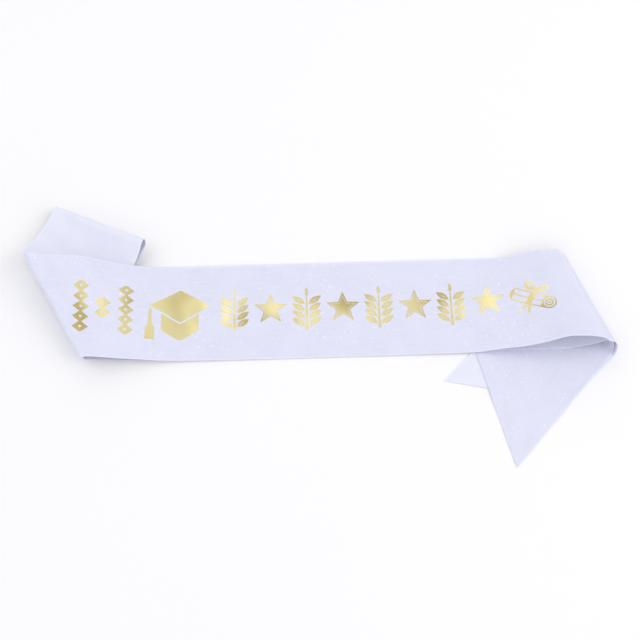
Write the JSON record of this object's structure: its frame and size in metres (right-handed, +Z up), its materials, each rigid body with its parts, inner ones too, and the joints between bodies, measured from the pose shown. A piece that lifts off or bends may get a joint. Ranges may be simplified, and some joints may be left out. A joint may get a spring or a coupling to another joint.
{
  "type": "ribbon sash",
  "caption": "Long satin ribbon sash with gold foil ornaments, folded in half and laid flat with its slanted ends fanned out.",
  "frame": {"origin": "on the surface that the sash lies on, under the middle of the main stretch", "axes": "+X along the main stretch towards the tails, +Y across it towards the flap, +Z up"},
  "size_m": [0.5391, 0.2716, 0.0411],
  "materials": {
    "satin": "white glitter satin, printed face sparkling, back face smooth",
    "foil": "polished gold foil print"
  },
  "bodies": {
    "root": {"satin_band": "satin", "bead_column_1": "foil", "bead_column_2": "foil", "bead_column_3": "foil", "cap_board": "foil", "cap_crown": "foil", "cap_tassel": "foil", "sprig_1": "foil", "star_1": "foil", "sprig_2": "foil", "star_2": "foil", "sprig_3": "foil", "star_3": "foil", "sprig_4": "foil", "star_4": "foil", "diploma_roll": "foil", "diploma_bow": "foil"}
  },
  "joints": []
}
